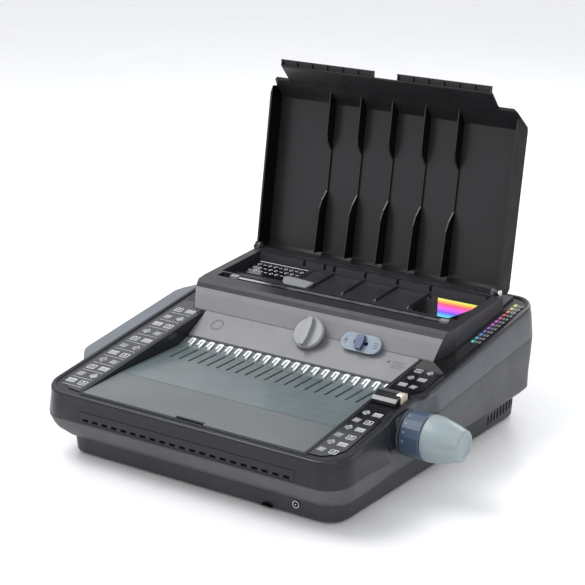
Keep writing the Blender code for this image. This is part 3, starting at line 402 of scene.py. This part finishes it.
def cut(obj, points, faces):
    """Cuts a closed shape out of a piece, then removes the tool."""
    mesh = bpy.data.meshes.new("tool")
    mesh.from_pydata([place(*p) for p in points], [], faces)
    work = bmesh.new()
    work.from_mesh(mesh)
    bmesh.ops.recalc_face_normals(work, faces=work.faces)
    work.to_mesh(mesh)
    work.free()
    tool = bpy.data.objects.new("tool", mesh)
    bpy.context.scene.collection.objects.link(tool)
    step = obj.modifiers.new("cut", "BOOLEAN")
    step.operation = "DIFFERENCE"
    step.object = tool
    bpy.context.view_layer.update()
    shape = bpy.data.meshes.new_from_object(obj.evaluated_get(bpy.context.evaluated_depsgraph_get()))
    obj.modifiers.clear()
    obj.data = shape
    bpy.data.objects.remove(tool, do_unlink=True)
    smooth(obj, 32)


def box_points(x0, x1, y0, y1, z0, z1):
    return prism_points(rectangle(x0, x1, y0, y1), z0, z1, lambda a, b, t: (a, b, t))


def paint_light_on_right_wall(shell):
    """The right-hand wall under the rim, where its faces turn to the right, gets painted light: a lighter
    grey than the rim and its strips.
    """
    shell.data.materials.append(MAT["right_wall_painted_light"])
    for face in shell.data.polygons:
        middle = face.center / MM + Vector((CENTRE_X, CENTRE_Y, 0.0))
        outside = middle.x > 203 and face.normal.x > 0.3 and middle.y > 120
        if outside and middle.z < rim_z(middle.y) - 4.5:
            face.material_index = 1


def build_housing():
    front, rear = -3.0, 447.0
    bay_wall = lambda y: 85.0 + 28.0 * ease(y, 204, 240)
    foot = lambda y: bay_wall(y) + (rim_z(y) - 6.0 - bay_wall(y)) * ease(y, 240, 300)
    bead = lambda y: rim_z(y) - 1.6 * ease(y, 240, 246)
    lift = lambda drop: (lambda y: rim_z(y) - drop)
    rings = [
        ring(belt_half, front - 1, rear + 3, 34, 34, lambda y: belt_z(y) + 0.2),
        ring(inset(belt_half, -0.2), front - 1.2, rear + 3.2, 34, 34, lambda y: belt_z(y) + 0.9),
        ring(inset(shelf_half, -0.1), front - 0.1, rear + 0.1, 32, 30, lift(9.6)),
        ring(shelf_half, front, rear, 32, 30, lift(8.8)),
        ring(rim_half, front, rear, 32, 30, lift(5.6)),
        ring(rim_half, front, rear, 32, 30, lift(2.6)),
        ring(inset(rim_half, 0.25), front + 0.25, rear - 0.25, 31.8, 29.8, lift(1.2)),
        ring(inset(rim_half, 0.9), front + 0.9, rear - 0.9, 31.3, 29.3, lift(0.35)),
        ring(inset(rim_half, 2.0), front + 2.0, rear - 2.0, 30.4, 28.4, lift(0.0)),
        ring(inset(rim_half, 5.6), front + 3.7, rear - 5.6, 28.2, 25.4, lift(0.0)),
        ring(inset(rim_half, 6.2), front + 4.3, rear - 6.2, 27.8, 24.8, lift(0.35)),
        ring(inset(rim_half, 7), front + 5, rear - 7, 27, 24, lift(1.6)),
        ring(straight(162.5), 5, 436, 5, 6, lift(1.6), 0),
        ring(straight(162.1), 5.4, 435.6, 4.6, 5.6, lambda y: min(bead(y), rim_z(y) - 0.4), 0),
        ring(straight(161.6), 5.9, 435.1, 4.2, 5.2, bead, 0),
        ring(straight(158.5), 7.5, 434.4, 2.4, 4.3, bead, 0),
        ring(straight(BAY_HALF), 8.0, 434.0, 2, 4, lambda y: bead(y) - 0.5, 0),
        ring(straight(BAY_HALF), 8.0, 434.0, 2, 4, foot, 0),
        ring(straight(160.5), 5.6, 436.4, 4, 6, foot, 0),
        ring(straight(160.5), 5.6, 436.4, 4, 6, lift(4.4), 0),
        ring(inset(rim_half, 4), front + 3, rear - 3, 30, 28, lift(4.8)),
        ring(inset(rim_half, 4), front + 3, rear - 3, 30, 28, lift(8.4)),
        ring(inset(shelf_half, 3.6), front + 3, rear - 3, 30, 28, lift(12.0)),
        ring(inset(belt_half, 3), front + 2, rear, 31, 31, lambda y: belt_z(y) + 0.2),
    ]
    shell = band("housing_upper", rings, "charcoal")
    paint_light_on_right_wall(shell)
    cut(shell, *box_points(-153.5, 153.5, -20, -2.0, 57.6, 71))
    cut(shell, *box_points(163.1, 195.9, 133.5, 166, 90, 125))
    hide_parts("upper_housing")
    low_z = lambda y: 24.0 + 7.0 * ease(y, 40, 445) + 0.3
    bulge_z = lambda y: 33.0 + 12.0 * ease(y, 60, 230)
    waist_z = lambda y: 43.0 + 22.0 * ease(y, 60, 230)
    top_z = lambda y: belt_z(y) - 0.5
    between = lambda a, b, t: (lambda y, side: a(y, side) + (b(y, side) - a(y, side)) * t)
    mix = lambda a, b, t: (lambda y: a(y) + (b(y) - a(y)) * t)
    plinth = straight(PLINTH_HALF)
    rings = [
        ring(plinth, 24, 445, 24, 26, low_z),
        ring(inset(plinth, -0.8), 23.2, 445.2, 24.6, 26.4, lambda y: low_z(y) + 0.5),
        ring(between(plinth, bulge_half, 0.62), 15, 446, 27, 27.3, mix(low_z, bulge_z, 0.45)),
        ring(bulge_half, 9.4, 447, 30, 28, bulge_z),
        ring(between(bulge_half, waist_half, 0.55), 4.2, 448, 31.6, 30, mix(bulge_z, waist_z, 0.45)),
        ring(waist_half, 0.4, 449, 33, 32, waist_z),
        ring(between(waist_half, belt_half, 0.6), -2.2, 449.7, 33.6, 33.4, mix(waist_z, top_z, 0.5)),
        ring(inset(belt_half, -0.1), -3.9, 450.1, 34, 34, lambda y: top_z(y) - 1.6),
        ring(inset(belt_half, 0.5), -3.4, 449.6, 34, 34, top_z),
        ring(inset(belt_half, 3), -1, 447, 31, 31, top_z),
        ring(inset(waist_half, 3), 3.4, 446, 30, 29, waist_z),
        ring(inset(bulge_half, 3), 12.4, 444, 27, 25, lambda y: bulge_z(y) + 1.5),
        ring(inset(plinth, 3), 27, 442, 21, 23, low_z),
    ]
    lower = band("housing_lower", rings, "dark_grey")
    cut(lower, *box_points(-55, -7, 430, 460, 66, 96))
    cut(lower, *box_points(-92.5, -73.5, 430, 460, 77, 89))
    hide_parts("lower_housing")


# ---------------------------------------------------------------- knob, ring and ring marks

def along_x(x0, y0, z0):
    return lambda a, b, t: (x0 + t, y0 + a, z0 + b)


def build_knob():
    at = along_x(0, KNOB_Y, KNOB_Z)
    steps = 96
    profile = [(5.4, 235.5), (25.6, 235.5), (26.5, 236.0), (26.9, 237.2), (27.0, 240), (26.6, 248),
               (25.4, 255), (23.6, 262), (21.4, 269), (19.6, 274.5), (18.7, 277), (17.6, 278.4),
               (16.0, 279.0), (13.5, 278.7), (12.6, 277.6), (11.0, 277.2), (0.6, 277.2)]
    points = []
    for radius, t in profile:
        for i in range(steps):
            angle = math.tau * i / steps
            groove = 0.5 + 0.5 * math.cos(6 * angle)
            depth = 1.5 * (groove ** 3) * ease(t, 246, 256) * (1 - ease(t, 277.0, 279.4)) * (radius > 14)
            r = radius - depth
            points.append(at(r * math.cos(angle), r * math.sin(angle), t))
    rows = len(profile)
    faces = [tuple(range(steps)), tuple(range((rows - 1) * steps, rows * steps))]
    for row in range(rows - 1):
        base = row * steps
        faces += [(base + i, base + (i + 1) % steps, base + steps + (i + 1) % steps, base + steps + i)
                  for i in range(steps)]
    knob = piece("knob_grip", points, faces, "pale_green", "knob", "pale_green", smooth_angle=50)
    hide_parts("drive_knob")
    facets = []
    for radius, t in ((24.6, 208.6), (26.0, 208.6), (26.9, 210), (27.0, 233.6), (26.2, 234.9), (24.6, 235.0)):
        facets.append([at(*p, t) for p in arc(radius, 16, start=math.pi / 16)])
    points = [p for row in facets for p in row]
    faces = [tuple(range(16)), tuple(range(80, 96))]
    for row in range(5):
        faces += [(row * 16 + i, row * 16 + (i + 1) % 16, row * 16 + 16 + (i + 1) % 16, row * 16 + 16 + i)
                  for i in range(16)]
    collar = piece("size_ring_facets", points, faces, "ring_blue", "size_selector", "ring_blue",
                   smooth_angle=12, bevel=0.5)
    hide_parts("size_ring")
    marks = []
    for i in range(16):
        angle = math.tau * i / 16 + math.pi / 8
        across = Vector((-math.sin(angle), math.cos(angle)))
        out = Vector((math.cos(angle), math.sin(angle))) * 26.62
        size = 0.5 + 0.12 * (i % 8)
        quad = [(-size, 213), (size, 213), (size, 213 + 2 * size), (-size, 213 + 2 * size)]
        points, faces = prism_points(quad, 0.0, 0.1, lambda a, b, t: at(
            *(out * (1 + t / 26.62) + across * a), b))
        marks.append((points, faces))
    piece("size_ring_marks", *merged(marks), "ink_grey", "size_selector", "ring_blue")


# ---------------------------------------------------------------- printed detail

def on_rim(lift):
    return lambda a, b, t: (a, b, rim_z(b) + lift + t)


def on_cover(lift):
    return lambda a, b, t: (a, b, cover_z(b) + lift + t)


def on_console(a, b, t):
    """Console panel: b runs up the slope from its lower edge."""
    slope = math.atan2(21.1, 36.6)
    return (a, CONSOLE_Y + b * math.cos(slope) - t * math.sin(slope),
            CONSOLE_Z + b * math.sin(slope) + t * math.cos(slope))


def on_seam(x0):
    tilt = math.radians(50)
    return lambda a, b, t: (x0 + a, SEAM_Y + b * math.cos(tilt) - t * math.sin(tilt),
                            SEAM_Z + b * math.sin(tilt) + t * math.cos(tilt))


def line(x0, y0, x1, y1, width):
    run = Vector((x1 - x0, y1 - y0))
    side = Vector((-run.y, run.x)).normalized() * width / 2
    return [(x0 + side.x, y0 + side.y), (x1 + side.x, y1 + side.y), (x1 - side.x, y1 - side.y),
            (x0 - side.x, y0 - side.y)]


def ring_line(radius, steps, centre, width):
    """Round outline drawn as short straight strokes."""
    points = arc(radius, steps, centre)
    return [line(*a, *b, width) for a, b in zip(points, points[1:])]


def frame_lines(x0, x1, y0, y1, width):
    return [line(x0, y0, x1, y0, width), line(x1, y0, x1, y1, width), line(x1, y1, x0, y1, width),
            line(x0, y1, x0, y0, width)]


def print_shapes(name, outlines, surface, material, body="housing", slot="gloss_black", thick=0.12):
    shapes = [prism_points(outline, 0.0, thick, surface) for outline in outlines]
    return piece(name, *merged(shapes), material, body, slot)


def pictogram(x, y, size, kind):
    """A small abstract instruction drawing: sheets, combs, arrows, a hand-like blob."""
    s = size
    light, grey = [], []
    if kind % 4 == 0:
        grey.append([(x - s, y - s * .7), (x + s * .5, y - s * .9), (x + s * .8, y + s * .5),
                     (x - s * .8, y + s * .7)])
        light += [line(x - s * .7, y + k * s * .3, x + s * .5, y + k * s * .3 - .4, s * .09)
                  for k in (-1, 0, 1)]
    elif kind % 4 == 1:
        light += [line(x - s * .9 + k * s * .3, y - s * .7, x - s * .9 + k * s * .3, y + s * .5, s * .12)
                  for k in range(7)]
        light.append(line(x - s, y + s * .6, x + s, y + s * .6, s * .14))
    elif kind % 4 == 2:
        grey.append([(x + p[0] * 1.2, y + p[1]) for p in arc(s * .7, 18)])
        light.append([(x + s * .1, y - s * .9), (x + s * .9, y - s * .1), (x + s * .35, y - s * .1),
                      (x + s * .35, y + s * .8), (x - s * .15, y + s * .8), (x - s * .15, y - s * .1),
                      (x - s * .7, y - s * .1)])
    else:
        light += frame_lines(x - s * .8, x + s * .8, y - s * .8, y + s * .6, s * .12)
        grey.append(rectangle(x - s * .55, x + s * .55, y - s * .55, y + s * .1))
        light.append([(x + p[0], y + s * .3 + p[1]) for p in arc(s * .16, 12)])
    return light, grey


def build_prints():
    light, grey = [], []
    x = -182
    for i, y in enumerate((28, 47, 66, 86, 106, 127, 148, 170, 192, 214, 236)):
        for j, dx in enumerate((-9, 9)):
            a, b = pictogram(x + dx, y, 6.4, i * 3 + j * 2 + 1)
            light += a
            grey += b
        light.append(line(x - 15, y - 10, x + 15, y - 10, 0.4))
    for i, y in enumerate((24, 41, 58, 76, 94, 112)):
        for j, dx in enumerate((-8, 7)):
            a, b = pictogram(179 + dx, y, 5.6, i * 2 + j * 3)
            light += a
            grey += b
    for i, y in enumerate((186, 204, 222)):
        for j, dx in enumerate((-9, 6)):
            a, b = pictogram(182 + dx, y, 5.2, i + j * 3 + 1)
            light += a
            grey += b
    print_shapes("strip_pictures_light", light, on_rim(-0.38), "ink_white")
    print_shapes("strip_pictures_grey", grey, on_rim(-0.38), "ink_grey")
    greys = []
    for row in range(12):
        part = row / 11
        y = 314 + 9.6 * row
        dots = [rectangle(190.4, 194.2, y - 2.9, y + 2.9)]
        greys += [rectangle(x, x + 2.6, y - 2.3, y + 2.3) for x in (196.0, 200.0)]
        name = f"dots_{row}"
        shade = colorsys.hsv_to_rgb((0.5 + 0.68 * part) % 1.0, 0.80, 0.80)
        MAT[name] = finish(name, shade, 0.35, grain=500, bump=0.02)
        print_shapes(f"colour_dots_{row}", dots, on_rim(-0.38), name)
    print_shapes("colour_dots_grey", greys, on_rim(-0.38), "ink_grey")
    bands = 12
    for k in range(bands):
        t0, t1 = k / bands, (k + 1) / bands
        y0, y1 = 323 + 55 * t0, 323 + 55 * t1
        shape = [(137 - 31 * t0, y0), (150 + 17 * t0, y0), (150 + 17 * t1, y1), (137 - 31 * t1, y1)]
        name = f"rainbow_{k}"
        shade = colorsys.hsv_to_rgb((0.5 + 0.72 * t0) % 1.0, 0.85, 0.85)
        MAT[name] = finish(name, shade, 0.3, grain=500, bump=0.02)
        print_shapes(f"capacity_band_{k}", [shape], on_cover(-9.88), name)
    chart_light = []
    for i in range(9):
        for j in range(3):
            centre = (-160 + 8.4 * i, 347 + 11 * j)
            if (i + j) % 3:
                chart_light += ring_line(2.2, 11, centre, 0.7)
            else:
                chart_light.append(line(centre[0] - 2.4, centre[1], centre[0] + 2.4, centre[1], 1.0))
    chart_light.append(line(-166, 379, -90, 379, 1.2))
    print_shapes("size_chart_marks", chart_light, on_cover(-9.88), "ink_white")
    badge = ring_line(8.4, 33, (-128, 24), 0.9) + ring_line(6.6, 33, (-128, 24), 0.5)
    print_shapes("console_badge", badge, on_console, "ink_dark", slot="warm_grey")
    notes = [line(128, 30 - 3 * k, 146 - 2 * (k % 2), 30 - 3 * k, 0.8) for k in range(4)]
    notes.append([(123 + p[0], 28 + p[1]) for p in arc(2.0, 14)])
    print_shapes("console_note_lines", notes, on_console, "ink_dark", slot="warm_grey")
    at = on_seam(80)
    icons = [line(-21, -4, -21, 4, 1.0), line(-24, 0, -18, 0, 1.0)]
    icons += [line(18, -3 + k * 3, 24, -3 + k * 3, 0.9) for k in range(3)]
    print_shapes("selector_icons", icons, lambda a, b, t: at(a, b, 9.42 + t), "ink_dark", slot="light_blue")
    gauge_marks = [line(-88 + 4 * k, 330, -88 + 4 * k, 333, 0.5) for k in range(10)]
    print_shapes("gauge_marks", gauge_marks, on_cover(-1.98), "ink_dark", "gauge", "light_grey")


# ---------------------------------------------------------------- details

def build_details():
    screws = []
    for x, y in ((-176, 410), (176, 410)):
        screws.append(lathe_points([(3.4, 0), (3.4, 1.2), (2.4, 1.8), (0.4, 1.8)], 24,
                                   lambda a, b, t, x=x, y=y: (x + a, y + b, rim_z(y) + 1.7 + t)))
    piece("shelf_screws", *merged(screws), "steel", slot="steel")
    slots = [prism_points(rectangle(x - 4.1, x + 4.1, 59.5, 62.5), -3.95, -3.15, lambda a, b, t: (a, t, b))
             for x in FINGERS]
    piece("front_slot_shadows", *merged(slots), "slot_black", slot="charcoal")
    lines = [prism_points(line(-150, 88 + k * 16, 150, 88 + k * 16, 0.35), 0.0, 0.06,
                          lambda a, b, t: (a, b, 93.5 + (b - 79.4) * 1.9 / 112.6 + t)) for k in range(4)]
    piece("deck_guide_lines", *merged(lines), "ink_grey", slot="deck_green")
    slope = math.atan2(6.1, 16.0)
    dark = []
    for x in FINGERS:
        dark.append(prism_points(rectangle(x - 5.4, x - 4.4, -8, 10), 0.0, 0.1, lambda a, b, t: (
            a, 198.5 + b * math.cos(slope) - t * math.sin(slope),
            95.4 + (6.5 + b) * math.sin(slope) + t * math.cos(slope))))
    piece("finger_shadow_slots", *merged(dark), "slot_black", slot="deck_green")
    at = lambda a, b, t: (137 + a, 22.7 + t, 17 + b)
    # painted shade: a thin dark disc stands for the shade inside the socket's hole
    piece("socket_hole_shade", *lathe_points([(3.1, -0.12), (3.1, 0.0)], 28, at), "slot_black", slot="steel")
    piece("socket_pin", *lathe_points([(0.9, -0.4), (0.9, -0.1)], 20, at), "steel", slot="steel")
    notch = [(-8.6, 4.2), (8.6, 4.2), (6.4, 8.2), (0, 9.4), (-6.4, 8.2)]
    shape = prism_points(notch, -2.5, -2.4, lambda a, b, t: (98 + a, 25.6 + t, b))
    piece("front_notch_shadow", *shape, "slot_black", slot="dark_grey")


def on_lid(x, height, depth):
    """Lid frame: height up the open lid and depth behind its open side."""
    return (x, HINGE_Y + height * math.sin(LID_TILT) + depth * math.cos(LID_TILT),
            HINGE_Z + height * math.cos(LID_TILT) - depth * math.sin(LID_TILT))


def build_lip():
    """Lower flange and gussets that make a channel of the lid's lip."""
    ledge = [(242.0, -21.8), (243.2, -22.4), (243.8, -25.4), (242.6, -25.4)]
    web = [(243.0, -22.2), (243.6, -25.0), (249.8, -25.0), (249.8, -22.4)]
    shapes = []
    for low, high in ((-159.4, -19.2), (16.2, 148.4)):
        shapes.append(prism_points(ledge, low, high, lambda a, b, t: on_lid(t, a, b)))
        count = 6
        for i in range(count + 1):
            x = low + 0.6 + (high - low - 1.2) * i / count
            shapes.append(prism_points(web, x - 0.45, x + 0.45, lambda a, b, t: on_lid(t, a, b)))
    piece("lid_lip_channel", *merged(shapes), "lid_black", "lid", "lid_black")


build_housing()
build_knob()
build_prints()
build_details()
build_lip()


# ---------------------------------------------------------------- floor, light and camera

def area_light(name, location, target, size, power, colour=(1.0, 1.0, 1.0)):
    data = bpy.data.lights.new(name, "AREA")
    data.shape = "RECTANGLE"
    data.size, data.size_y = size
    data.energy = power
    data.color = colour
    light = bpy.data.objects.new(name, data)
    bpy.context.scene.collection.objects.link(light)
    light.location = location
    light.rotation_euler = (Vector(target) - Vector(location)).to_track_quat("-Z", "Y").to_euler()


def build_studio():
    mesh = bpy.data.meshes.new("floor")
    mesh.from_pydata([(-6, -6, 0), (6, -6, 0), (6, 6, 0), (-6, 6, 0)], [], [(0, 1, 2, 3)])
    floor = bpy.data.objects.new("floor", mesh)
    bpy.context.scene.collection.objects.link(floor)
    mesh.materials.append(finish("floor_paint", (0.84, 0.84, 0.85), 0.35, grain=120, bump=0.01, tone=0.01))
    world = bpy.data.worlds.new("studio")
    world.use_nodes = True
    world.node_tree.nodes["Background"].inputs["Color"].default_value = (0.93, 0.94, 0.96, 1.0)
    world.node_tree.nodes["Background"].inputs["Strength"].default_value = 1.0
    bpy.context.scene.world = world
    area_light("key", (-0.9, -0.5, 1.9), (0, 0, 0.1), (1.4, 1.0), 30)
    area_light("fill", (1.5, -1.6, 1.1), (0, -0.1, 0.1), (1.2, 0.8), 12)
    area_light("back", (0.2, 1.7, 1.3), (0, 0.1, 0.2), (1.6, 0.6), 14)
    data = bpy.data.cameras.new("camera")
    data.lens = 112.16
    data.sensor_width = 36.0
    camera = bpy.data.objects.new("camera", data)
    camera.location = place(1183.86, -1491.91, 857.08)
    camera.rotation_euler = (math.radians(72.11), 0.0, math.radians(34.76))
    bpy.context.scene.collection.objects.link(camera)
    bpy.context.scene.camera = camera


bpy.context.scene.view_settings.view_transform = "Standard"
build_studio()
